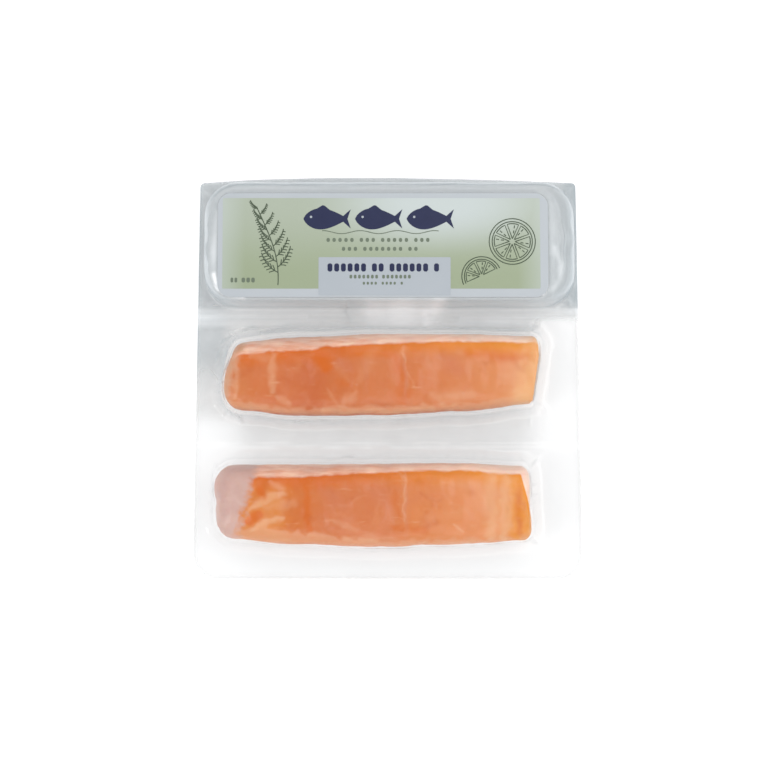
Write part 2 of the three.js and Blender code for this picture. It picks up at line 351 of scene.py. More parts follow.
# Single folds in the film: path, height, half width.
FOLDS = [
    ([(-79, 13), (-72, 19.5)], 0.9, 0.8), ([(-80.5, 4), (-78, 13)], 0.8, 0.7),
    ([(-73, -14), (-66, -23)], 0.9, 0.9), ([(-77, -11), (-71, -20)], 0.6, 0.7),
    ([(-70, 21), (-58, 23)], 0.7, 0.9), ([(-62, 20), (-45, 22)], 0.6, 0.8),
    ([(7, 15), (8.5, -19)], 0.2, 0.8), ([(7.5, -41), (7.8, -79)], 0.2, 0.8),
    ([(-20.5, 36), (-17.5, 22)], 0.4, 1.6), ([(63, 19), (72, 24)], 0.8, 0.9),
    ([(69, -12), (75, -17)], 0.7, 0.8), ([(-80, -46), (-72, -40)], 0.9, 0.9),
    ([(-81, -72), (-74, -79)], 0.9, 0.9), ([(65, -42), (72, -37)], 0.8, 0.8),
    ([(66, -75), (72, -80)], 0.8, 0.9), ([(-60, -19.5), (-20, -21.5)], 0.5, 0.8),
    ([(-40, -39), (0, -37.8)], 0.5, 0.8)]
# Ridges on the shut compartment: round its left end, down its right end, and short ones at the corners.
POCKET_FOLDS = [
    ([(-78, 79), (-81.5, 71), (-82.5, 58), (-81.5, 47), (-78.5, 40), (-73, 35.6), (-66, 34.2)], 0.8, 1.0),
    ([(77, 80), (79.5, 70), (80, 57), (79, 46), (75.5, 38)], 0.6, 1.0),
    ([(83, 76), (84.5, 62), (83.5, 47)], 0.5, 1.2), ([(72, 40), (70.5, 35.5)], 0.5, 0.7),
    ([(-84, 84), (-88, 88)], 0.5, 0.8), ([(81, 85), (86, 89)], 0.5, 0.8),
    ([(-85, 38), (-88.5, 34)], 0.5, 0.8), ([(81, 38), (86, 33)], 0.5, 0.8)]
# Whiter bands of film: painted highlights round the compartment's ends and corners and on the flange below
# it, painted light on pale patches of that flange, and white lines along the upper tear line. Path, half
# width, whiteness.
WHITE_AND_PAINTED_LIGHT_BANDS = [
    ([(-77.4, 73), (-78.6, 65), (-79.3, 57), (-79.5, 50), (-79, 44), (-77.4, 40)], 2.0, 0.25),
    ([(-79.3, 45), (-78.4, 41.6), (-76.8, 38.6), (-74.4, 36.5), (-71, 35.2), (-66, 34.6)], 1.0, 0.5),
    ([(74.5, 77), (75.2, 66), (75, 55)], 1.8, 0.12),
    ([(76, 57), (79, 50), (78.5, 43), (75, 38)], 1.6, 0.2), ([(23.5, 33), (24.5, 33)], 3.2, 0.25),
    ([(17.5, 29), (18, 25)], 1.5, 0.3), ([(71, 39), (70.5, 36)], 0.9, 0.5),
    ([(-88, 28), (-38, 28)], 0.6, 0.12), ([(34, 27.6), (88, 27.6)], 0.6, 0.12),
    ([(-8, 30.5), (20, 30.5)], 4.5, 0.3), ([(34, 25.2), (66, 24.8)], 3.2, 0.22),
    ([(-6, 26), (20, 25)], 4.0, 0.15)]
# How milky the film is from the foot to the labelled end: at which Y, how much.
MILK = [(-46, 0.045), (-37, 0.06), (-31, 0.19), (-20, 0.26), (10, 0.31), (31, 0.31), (33, 0.45), (36, 0.56)]
# The same where the film is faint and on fish, then what rims and foot corners add to it.
CLEAR_MILK, FISH_MILK, RIM_MILK, CORNER_MILK = 0.04, 0.01, 0.2, 0.25
# How much painted light whitens the flange along the shut compartment's near side, where the compartment
# shades it.
FLANGE_PAINTED_LIGHT = 0.28
# Where the film changes, along X or Y: from none of the change to all of it.
RIGHT_RIM_X, LABEL_END_Y = (81, 86), (26, 34)
LEFT_STRIP_X, LEFT_STRIP_Y, BELOW_POCKET_Y = (-70, -80), (-12, 12), (34, 28)
FADED_RIGHT_X, FADED_RIGHT_Y = (60, 76), (30, 25)
FADED_LEFT_X, FADED_LEFT_Y = (-60, -76), (-14, -24)
BRIGHT_FROM_Y, BRIGHT_UNTIL_Y = (21, 25), (33, 31)
GREY_END_Y = (24, 36)


def film_form(loins):
    """What the film is drawn over: its flange and shut compartment, and the loins a little swollen."""
    parts = [copy_of_node("formed_film", "film_form")]
    for item in loins:
        only(item)
        bpy.ops.object.duplicate()
        parts.append(modify(bpy.context.active_object, "DISPLACE", strength=FILM_OVER_LOIN, mid_level=0))
    side, depth = 200 * MM, 5 * MM
    middle = (0, 0, FLANGE_TOP - depth / 2)
    bpy.ops.mesh.primitive_cube_add(size=1, location=middle, scale=(side, side, depth))
    parts.append(settle(bpy.context.active_object, "flange_block"))
    only(*parts)
    bpy.ops.object.join()
    return bpy.context.active_object


def pleats(x, y, node):
    """Small pleats that stand out from a loin's foot, mostly at its ends and corners, in millimetres."""
    low, high = (np.array(corner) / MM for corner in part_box(node))
    inner_x = np.clip(x, low[0] + PLEAT_INSET, high[0] - PLEAT_INSET)
    inner_y = np.clip(y, low[1] + PLEAT_INSET, high[1] - PLEAT_INSET)
    out_x, out_y = np.abs(x - inner_x), np.abs(y - inner_y)
    around = inner_x + inner_y + PLEAT_INSET * np.arctan2(out_y, out_x)
    away = np.hypot(out_x, out_y) - PLEAT_INSET
    wave = np.cos(2 * math.pi * around / PLEAT_PITCH + 3.4 * np.sin(around / 4.3) + 0.5 * np.sin(away))
    weak = (0.2 + 0.6 * eased(out_x, 1, 6)) * (0.55 + 0.45 * np.sin(around / 3.1))
    return PLEAT_HEIGHT * np.maximum(wave, 0) ** 3 * weak * eased(away, -1, 1.5) * eased(away, 7, 2)


def creases(x, y, folds):
    """How far the single folds and the pleats stand out of the film, in millimetres."""
    wave_x, wave_y = x + 0.5 * np.sin(y / 2.1), y + 0.5 * np.sin(x / 2.4)
    lift = np.zeros(len(x))
    for path, height, width in folds:
        lift = np.maximum(lift, height * soft_band(wave_x, wave_y, path, width, 0.05))
    for node in LOIN_NAMES:
        lift = np.maximum(lift, pleats(x, y, node))
    return lift


def crease_film(film):
    """Works folds, slack and tear lines into the drawn film, and keeps it flat under the label."""
    places, facing = per_vertex(film, "co"), per_vertex(film, "normal")
    x, y, z = places.T / MM
    under_label = (x > UNDER_LABEL["left"]) & (x < UNDER_LABEL["right"]) & (z > UNDER_LABEL["bottom"])
    under_label &= (y > UNDER_LABEL["near"]) & (y < UNDER_LABEL["far"])
    lift = creases(x, y, FOLDS + POCKET_FOLDS) * (z > 1)
    slack = np.array([noise.noise(Vector(place)) for place in places / (SLACK_LENGTH * MM)])
    lift += np.where(under_label, 0, SLACK_HEIGHT * slack)
    for line in TEAR_LINES:
        lift -= TEAR_DEPTH * ((np.abs(y - line) < TEAR_HALF_WIDTH) & (z < 4))
    places += MM * lift[:, None] * facing
    level = places[:, 2]
    level = np.where(level > 0, np.maximum(level, FLANGE_TOP - TEAR_DEPTH * MM), level)
    places[:, 2] = np.where(under_label, np.minimum(level, POCKET_TOP + 0.1 * MM), level)
    move_to(film, places)


def drawn_film(loins):
    """The formed film as one closed skin: drawn over its form, creased, cut flat below and trimmed."""
    film = film_form(loins)
    only(film)
    bpy.ops.object.duplicate()
    form = bpy.context.active_object
    modify(film, "REMESH", mode="VOXEL", voxel_size=FILM_VOXEL)
    modify(film, "SMOOTH", factor=0.5, iterations=8)
    modify(film, "SHRINKWRAP", target=form, wrap_method="NEAREST_SURFACEPOINT", wrap_mode="OUTSIDE")
    modify(film, "SMOOTH", factor=0.5, iterations=2)
    bpy.data.objects.remove(form)
    crease_film(film)
    edit(film)
    bpy.ops.mesh.bisect(plane_co=(0, 0, FILM_UNDERSIDE), plane_no=(0, 0, 1), use_fill=True, clear_inner=True)
    cutter = copy_of_node("back_film", "strip_outline")
    edit(cutter)
    bpy.ops.transform.resize(value=(1, 1, 100), center_override=(0, 0, 0))
    modify(film, "BOOLEAN", operation="INTERSECT", object=cutter, solver="MANIFOLD")
    bpy.data.objects.remove(cutter)
    film.name = film.data.name = "formed_film_clear"
    paint_film(film, loins)
    only(film)
    bpy.ops.object.shade_smooth_by_angle(angle=math.radians(60))
    return film


def share_on_fish(places, loins):
    """1 where the film lies on a loin, 0 where it has left it; places in metres."""
    tree = kdtree.KDTree(sum(len(item.data.vertices) for item in loins))
    for item in loins:
        for index, vertex in enumerate(item.data.vertices):
            tree.insert(vertex.co, index)
    tree.balance()
    gap = np.array([tree.find(place)[2] for place in places]) / MM
    return eased(gap, LEFT_LOIN, ON_LOIN)


def paint_film(film, loins):
    """Where the film is milky, where it lies on fish and where it is folded."""
    places = per_vertex(film, "co")
    x, y, z = places.T / MM
    upper_side = z >= 1
    on_fish = share_on_fish(places, loins) * (z > 1)
    left_strip = eased(x, *LEFT_STRIP_X) * eased(y, *LEFT_STRIP_Y)
    milk = np.interp(y, *zip(*MILK))
    milk += RIM_MILK * eased(x, *RIGHT_RIM_X) * eased(y, *LABEL_END_Y)
    milk += RIM_MILK * left_strip * eased(y, *BELOW_POCKET_Y)
    # The film is faint at its right side below the label, and at its left side beside the lower loin.
    faded_right = eased(x, *FADED_RIGHT_X) * eased(y, *FADED_RIGHT_Y)
    faded = np.maximum(faded_right, eased(x, *FADED_LEFT_X) * eased(y, *FADED_LEFT_Y))
    milk = milk * (1 - faded) + CLEAR_MILK * faded
    foot = CAD_BOX[0].y / MM
    half_width = np.interp(y, [foot, CAD_BOX[1].y / MM], STRIP_HALF_WIDTHS)
    in_side = np.maximum(FOOT_CORNER - (half_width - np.abs(x)), 0)
    in_foot = np.maximum(FOOT_CORNER - (y - foot), 0)
    milk += CORNER_MILK * eased(FOOT_CORNER - np.hypot(in_side, in_foot), 1.5, 0.5)
    # Painted light lifts the flange in the shut compartment's shade, and the bands add painted highlights
    # and white lines.
    painted_light_and_white = FLANGE_PAINTED_LIGHT * eased(y, *BRIGHT_FROM_Y) * eased(y, *BRIGHT_UNTIL_Y) * (1 - faded)
    for path, width, white in WHITE_AND_PAINTED_LIGHT_BANDS:
        painted_light_and_white += white * soft_band(x, y, path, width, 0.25)
    paint(film, "milk", upper_side * (milk * (1 - on_fish) + FISH_MILK * on_fish))
    paint(film, "painted_light_and_white", upper_side * painted_light_and_white)
    paint(film, "on_fish", on_fish)
    paint(film, "fold", upper_side * creases(x, y, FOLDS) * (1 - 0.7 * faded))
    paint(film, "label_end", upper_side * np.maximum(eased(y, *GREY_END_Y), left_strip))
    paint(film, "upper_side", upper_side)


# ---------------------------------------------------------------- label

INK = 0.06 * MM
# Places on the label, in millimetres.
FIELD = {"left": -75.3, "right": 69.2, "near": 38.4, "far": 80.0}
BOX = {"left": -31.6, "right": 28.4, "near": 35.4, "far": 52.8}
SHEET_CORNER, PRINT_CORNER = 6, 0.5
FISH_NOSES = [(-38.5, 70.4), (-15, 70.4), (8.5, 70.4)]
FISH_LENGTH, FISH_HEIGHT = 21.5, 10.6
EYE_FROM_NOSE, EYE_RADIUS = (3.4, 0.9), 0.55
WAVE_LINE = {"left": -30, "right": 23, "level": 64.3, "height": 0.7, "length": 2.7, "width": 0.5}
DRAWING_WIDTH = 0.6
DILL_FOOT, DILL_HEIGHT, DILL_LEAN, DILL_SHOOTS, DILL_REACH = (-50, 40), 36, -9, 13, 11.5
# Slices of lemon: middle, radius, first and last angle in degrees.
LEMONS = [((56.5, 60), 10.5, -160, 200), ((42.5, 44), 9, 25, 205)]
# In a lemon, of its radius: its peel's inside, its wedges' outer end and their inner end. Then in degrees:
# how far apart the wedges are, and half the gap between two.
PITH, WEDGE_END, WEDGE_TIP = 0.87, 0.78, 0.12
WEDGE_ANGLE, WEDGE_GAP = 45, 4
# Rows of small blocks where print would be: left, right, near, far, gap, and the blocks' widths in turn.
# A negative width is a space between two groups. Their corners are cut by a share of their shorter side.
BLOCK_CUT = 0.28
GREY_ROWS = [(-28, 22, 59.8, 61.6, 1.2, 5 * [1.5] + [-1.6] + 3 * [1.5] + [-1.6]),
             (-21, 16, 55.7, 57.5, 1.2, 3 * [1.5] + [-1.6] + 4 * [1.5])]
CORNER_ROWS = [(-71.5, -59, 41.2, 43.4, 0.6, 2 * [1.2] + [-1.4] + 3 * [1.6])]
BOLD_ROWS = [(-27.5, 24, 46.2, 49.9, 0.85, 6 * [2.2] + [-1.9] + 2 * [2.2] + [-1.9])]
THIN_ROWS = [(-17.5, 11.5, 43.0, 44.7, 0.75, 7 * [1.2] + [-1.2]),
             (-11.5, 6.8, 40.2, 41.5, 0.8, 4 * [1.0] + [-1.4])]


def plate(name, sides, corner, bottom, thickness):
    """A thin flat plate with round corners; its sides and corners in millimetres, its levels in metres."""
    width, depth = sides["right"] - sides["left"], sides["far"] - sides["near"]
    across, back = (sides["right"] + sides["left"]) / 2, (sides["far"] + sides["near"]) / 2
    middle = (across * MM, back * MM, bottom + thickness / 2)
    bpy.ops.mesh.primitive_cube_add(size=1, location=middle, scale=(width * MM, depth * MM, thickness))
    item = settle(bpy.context.active_object, name)
    edit(item)
    bpy.ops.mesh.select_mode(type="EDGE")
    bpy.ops.mesh.select_all(action="DESELECT")
    bpy.ops.object.mode_set(mode="OBJECT")
    for edge in item.data.edges:
        a, b = (item.data.vertices[i].co for i in edge.vertices)
        edge.select = abs(a.z - b.z) > thickness / 2
    bpy.ops.object.mode_set(mode="EDIT")
    bpy.ops.mesh.bevel(offset=corner * MM, segments=8, affect="EDGES")
    return only(item)


def drawn_curve(name, runs, closed, **settings):
    """A curve object through runs of points in millimetres."""
    data = bpy.data.curves.new(name, "CURVE")
    for key, value in settings.items():
        setattr(data, key, value)
    for run in runs:
        spline = data.splines.new("POLY")
        spline.points.add(len(run) - 1)
        for point, (x, y) in zip(spline.points, run):
            point.co = (x * MM, y * MM, 0, 1)
        spline.use_cyclic_u = closed
    item = bpy.data.objects.new(name, data)
    bpy.context.scene.collection.objects.link(item)
    only(item)
    bpy.ops.object.convert(target="MESH")
    return bpy.context.active_object


def ink_shapes(name, outlines, bottom):
    """Flat printed shapes: each closed outline becomes a thin filled piece."""
    item = drawn_curve(name, outlines, True, dimensions="2D", fill_mode="BOTH", extrude=INK / 2)
    item.location.z = bottom + INK / 2
    settle(item, name)
    edit(item)
    bpy.ops.mesh.remove_doubles(threshold=0.001 * MM)
    bpy.ops.mesh.normals_make_consistent(inside=False)
    return only(item)


def ink_lines(name, runs, width, bottom):
    """Printed line work: each run of points becomes a low bead of ink; width in millimetres."""
    item = drawn_curve(name, runs, False, dimensions="3D", bevel_depth=width * MM / 2, bevel_resolution=0,
                       use_fill_caps=True)
    item.location.z = bottom
    item.scale.z = 2 * INK / (width * MM)
    return settle(item, name)


def fish_outline(nose):
    """A plain fish from the side, from its nose: a pointed oval, a low back fin and a forked tail."""
    body = np.linspace(0, 0.84, 22)
    half = 0.44 * np.sin(math.pi * (body / 0.94) ** 0.72) + 0.02
    fin = 0.16 * np.clip(1 - np.abs(body - 0.42) / 0.13, 0, 1)
    tail = [(1.0, 0.42), (0.93, 0.0), (1.0, -0.42)]
    points = list(zip(body, half + fin)) + tail + list(zip(body[::-1], -half[::-1]))
    return [(nose[0] + x * FISH_LENGTH, nose[1] + y * FISH_HEIGHT) for x, y in points]


def fish_eye(nose):
    """A small round eye behind a fish's nose."""
    turns = np.linspace(0, 2 * math.pi, 12, endpoint=False)
    across, up = np.add(nose, EYE_FROM_NOSE)
    return list(zip(across + EYE_RADIUS * np.cos(turns), up + EYE_RADIUS * np.sin(turns)))


def block_row(left, right, near, far, gap, widths):
    """A row of small upright blocks in groups, which stands where small print would be."""
    outlines, x, index = [], left, 0
    while True:
        width = widths[index % len(widths)]
        if width < 0:
            x -= width
        elif x + width > right:
            return outlines
        else:
            end, cut = x + width, min(width, far - near) * BLOCK_CUT
            outlines.append([(x + cut, near), (end - cut, near), (end, near + cut), (end, far - cut),
                             (end - cut, far), (x + cut, far), (x, far - cut), (x, near + cut)])
            x = end + gap
        index += 1


def block_rows(name, rows, bottom):
    """Several rows of blocks as one printed piece."""
    return ink_shapes(name, [block for row in rows for block in block_row(*row)], bottom)


def towards(angle):
    """One unit of length at an angle in radians."""
    return np.array([math.cos(angle), math.sin(angle)])


def dill_sprig():
    """A sprig of dill in line: a bent stem with feathered side shoots, shorter towards its tip."""
    share = np.linspace(0, 1, 24)
    stem_x = DILL_FOOT[0] + DILL_LEAN * share ** 1.4 + 1.2 * np.sin(4 * share)
    stem_y = DILL_FOOT[1] + DILL_HEIGHT * share
    runs = [list(zip(stem_x, stem_y))]
    for index, at in enumerate(np.linspace(0.16, 0.97, DILL_SHOOTS)):
        side = 1 if index % 2 else -1
        root = np.array([np.interp(at, share, stem_x), np.interp(at, share, stem_y)])
        reach = DILL_REACH * (1 - 0.62 * at)
        angle = math.radians(72 if side > 0 else 118) - side * 0.62
        steps = np.linspace(0, 1, 7)
        shoot = [root + reach * step * towards(angle + side * 0.35 * step) for step in steps]
        runs.append([tuple(point) for point in shoot])
        for step, point in zip(steps[1:], shoot[1:]):
            for turn in (-0.75, 0.75):
                tip = point + reach * 0.26 * (1.1 - 0.5 * step) * towards(angle + turn)
                runs.append([tuple(point), tuple((point + tip) / 2 + 0.12), tuple(tip)])
    return runs


def lemon_slice(middle, radius, start, end):
    """A slice of lemon in line, from one angle to another in degrees: peel, pith, wedges and pips."""
    def arc(size, low, high, count=40):
        turns = np.radians(np.linspace(low, high, count))
        return [tuple(middle + size * radius * towards(turn)) for turn in turns]

    runs = [arc(1, start, end), arc(PITH, start, end)]
    wedges = round((end - start) / WEDGE_ANGLE)
    for index in range(wedges):
        low = start + (end - start) * index / wedges + WEDGE_GAP
        high = start + (end - start) * (index + 1) / wedges - WEDGE_GAP
        heart = math.radians((low + high) / 2)
        tip = tuple(middle + WEDGE_TIP * radius * towards(heart))
        runs.append([tip] + arc(WEDGE_END, low, high, 9) + [tip])
        pip = towards(heart + 0.1 * (-1) ** index)
        for start_of_pip in (0.36, 0.58):
            shares = (start_of_pip, start_of_pip + 0.07, start_of_pip + 0.13)
            runs.append([tuple(middle + share * radius * pip) for share in shares])
    return runs


def label_pieces():
    """The label: its sheet, a green field, a white box, and plain motifs and rows where print would be."""
    top = LABEL_HIGH.z
    outline = {"left": LABEL_LOW.x / MM, "right": LABEL_HIGH.x / MM,
               "near": LABEL_LOW.y / MM, "far": LABEL_HIGH.y / MM}
    sheet = plate("label_sheet", outline, SHEET_CORNER, LABEL_LOW.z, top - LABEL_LOW.z)
    field = plate("label_green_field", FIELD, PRINT_CORNER, top - INK, 2 * INK)
    box = plate("label_white_box", BOX, PRINT_CORNER, top - INK, 3 * INK)
    # Print sinks a fifth of its thickness into what it lies on.
    on_field, on_box = top + 0.8 * INK, top + 1.8 * INK
    fish = ink_shapes("label_fish_row", [fish_outline(nose) for nose in FISH_NOSES], on_field)
    eyes = ink_shapes("label_fish_eyes", [fish_eye(nose) for nose in FISH_NOSES], on_field + INK)
    across = np.linspace(WAVE_LINE["left"], WAVE_LINE["right"], 90)
    up = WAVE_LINE["level"] + WAVE_LINE["height"] * np.sin(across / WAVE_LINE["length"])
    wave = ink_lines("label_wave_line", [list(zip(across, up))], WAVE_LINE["width"], on_field)
    grey_rows = block_rows("label_grey_rows", GREY_ROWS, on_field)
    navy_rows = block_rows("label_navy_rows", BOLD_ROWS, on_box)
    thin_rows = block_rows("label_thin_rows", THIN_ROWS, on_box)
    corner_row = block_rows("label_corner_row", CORNER_ROWS, on_field)
    drawing = sum([lemon_slice(*lemon) for lemon in LEMONS], dill_sprig())
    motifs = ink_lines("label_dill_and_lemon", drawing, DRAWING_WIDTH, on_field)
    return {"sheet": [sheet], "field": [field], "box": [box, eyes], "navy": [fish, navy_rows],
            "grey": [wave, grey_rows, thin_rows, corner_row], "green": [motifs]}


# ---------------------------------------------------------------- materials

# A colour Mix node's sockets, and its settings.
SHARE, UNDER, OVER = 0, 6, 7
OF_COLOURS = {"output": 2, "data_type": "RGBA"}
SOFT_ENDS = {"interpolation_type": "SMOOTHSTEP"}
WHITE = (1, 1, 1, 1)


def colour(hex_code):
    """An sRGB hex colour as linear red, green, blue and alpha."""
    values = [int(hex_code[i:i + 2], 16) / 255 for i in (1, 3, 5)]
    return [v / 12.92 if v <= 0.04045 else ((v + 0.055) / 1.055) ** 2.4 for v in values] + [1]


def add_node(tree, kind, inputs=(), output=0, **settings):
    """Adds one node with its settings and links, and gives back one of its outputs."""
    made = tree.nodes.new("ShaderNode" + kind)
    for key, value in settings.items():
        setattr(made, key, value)
    for key, value in dict(inputs).items():
        if isinstance(value, bpy.types.NodeSocket):
            tree.links.new(value, made.inputs[key])
        else:
            made.inputs[key].default_value = value
    return made.outputs[output] if made.outputs else made


def new_material(name):
    """An empty material, and add_node for its tree."""
    material = bpy.data.materials.new(name)
    material.use_nodes = True
    material.node_tree.nodes.clear()
    return material, functools.partial(add_node, material.node_tree)


def drawn_film_finish():
    """Clear polyamide film, drawn down hot: glossy, milky where cold and stretched, whiter along folds."""
    material, add = new_material("drawn_clear_polyamide_film")
    where = add("TexCoord", output="Object")
    milk, fold, painted_light_and_white, on_fish, label_end, upper_side = [
        add("Attribute", output="Fac", attribute_name=name)
        for name in ("milk", "fold", "painted_light_and_white", "on_fish", "label_end", "upper_side")]
    # Milkiness comes in clouds of about 16 mm.
    clouds = add("TexNoise", {"Vector": where, "Scale": 1 / (16 * MM), "Detail": 4, "Roughness": 0.55})
    uneven = {"Value": clouds, "From Min": 0.3, "From Max": 0.7, "To Min": 0.88, "To Max": 1.12}
    mottle = add("MapRange", uneven)
    milk = add("Math", {0: milk, 1: mottle}, operation="MULTIPLY")
    # Steep walls are seen through more film.
    facing = add("SeparateXYZ", {0: add("NewGeometry", output="Normal")}, output="Z")
    flat = add("Math", {0: facing}, operation="ABSOLUTE")
    steep = add("MapRange", {"Value": flat, "From Min": 0.92, "From Max": 0.3}, **SOFT_ENDS)
    thick = add("MapRange", {"Value": label_end, "To Min": 0.1, "To Max": 0.3})
    wall = add("Math", {0: steep, 1: thick, 2: milk}, operation="MULTIPLY_ADD")
    # Painted highlights and painted light also add to the haze.
    wall = add("Math", {0: painted_light_and_white, 1: wall}, operation="ADD")
    haze = add("Math", {0: fold, 1: 0.3, 2: wall}, operation="MULTIPLY_ADD", use_clamp=True)
    # Unevenness of a few millimetres breaks up the gloss.
    swell = add("TexNoise", {"Vector": where, "Scale": 1 / (4 * MM), "Detail": 3, "Roughness": 0.5})
    skin = add("Bump", {"Height": swell, "Strength": 0.25, "Distance": 0.3 * MM})
    # Milky film is blue grey at the labelled end, and white where it carries painted highlights, painted
    # light and white lines along the tear line.
    painted_light_share = add("Math", {0: painted_light_and_white, 1: 2.0}, operation="MULTIPLY", use_clamp=True)
    milky = colour("#cdcfce")
    # Steep walls get a blue grey of their own, set by how they are lit: painted light and shade on the
    # walls.
    for share, tint in ((label_end, "#abb4b8"), (steep, "#b5bec3"), (painted_light_share, "#fafcfd"), (fold, "#b4babc"),
                        (on_fish, "#ece6e2")):
        milky = add("Mix", {SHARE: share, UNDER: milky, OVER: colour(tint)}, **OF_COLOURS)
    cloudy = add("BsdfPrincipled", {"Base Color": milky, "Roughness": 0.25, "IOR": 1.53, "Normal": skin})
    # Clear film mirrors about 4% of what is above it, and more at a slant. Wet on fish it mirrors less.
    slant = add("LayerWeight", {"Blend": 0.5, "Normal": skin}, output="Facing")
    steeper = add("Math", {0: slant, 1: 5.0}, operation="POWER")
    straight_on = add("MapRange", {"Value": on_fish, "To Min": 0.04, "To Max": 0.022})
    mirrored = add("Math", {0: steeper, 1: 0.6, 2: straight_on}, operation="MULTIPLY_ADD")
    mirrored = add("Math", {0: mirrored, 1: upper_side}, operation="MULTIPLY")
    polish = add("MapRange", {"Value": on_fish, "To Min": 0.1, "To Max": 0.26})
    shine = add("BsdfGlossy", {"Color": WHITE, "Roughness": polish, "Normal": skin})
    clear = add("MixShader", {0: mirrored, 1: add("BsdfTransparent"), 2: shine})
    add("OutputMaterial", {"Surface": add("MixShader", {0: haze, 1: clear, 2: cloudy})})
    return material


def backing_film_finish():
    """Flat calendered laminate film: even and nearly clear, a little uneven from the hot seal."""
    material, add = new_material("calendered_backing_film")
    where = add("TexCoord", output="Object")
    # Its haze comes in clouds of 22 mm, and the seal's swells are about 6 mm long.
    clouds = add("TexNoise", {"Vector": where, "Scale": 1 / (22 * MM), "Detail": 3})
    faint = {"Value": clouds, "From Min": 0.3, "From Max": 0.7, "To Min": 0.006, "To Max": 0.014}
    haze = add("MapRange", faint)
    tint = add("Mix", {SHARE: clouds, UNDER: colour("#d6dbde"), OVER: colour("#e2e6e7")}, **OF_COLOURS)
    swell = add("TexNoise", {"Vector": where, "Scale": 1 / (6 * MM), "Detail": 3})
    skin = add("Bump", {"Height": swell, "Strength": 0.15, "Distance": 0.2 * MM})
    film = {"Base Color": tint, "Alpha": haze, "Roughness": 0.2, "IOR": 1.5, "Normal": skin}
    add("OutputMaterial", {"Surface": add("BsdfPrincipled", film)})
    return material


# Along each loin from its left end, in millimetres: the colour of its muscle. It grows paler to the right,
# partly its own colour and partly painted light from the right.
MUSCLE = {
    "salmon_loin_1": [(0, "#cd7c4a"), (24, "#cc7444"), (41, "#c5693a"), (54, "#c9713f"), (72, "#ce7a4b"),
                      (90, "#cf7a49"), (107, "#d38252"), (124, "#d88b59"), (138, "#dd9868")],
    "salmon_loin_2": [(0, "#d27f42"), (28, "#d5823f"), (40, "#cd733a"), (54, "#cd7849"), (76, "#cf7a4c"),
                      (95, "#d6844f"), (114, "#da8c5b"), (130, "#df9560"), (137, "#df9140")],
}
# In millimetres from the left: where the left end's colour stops and the pale right end starts. Then the
# left end's two colours.
ENDS = {
    "salmon_loin_1": (5.5, 136, "#c48a68", "#d3a283"),
    "salmon_loin_2": (15.3, 148, "#b7908a", "#dab8aa"),
}


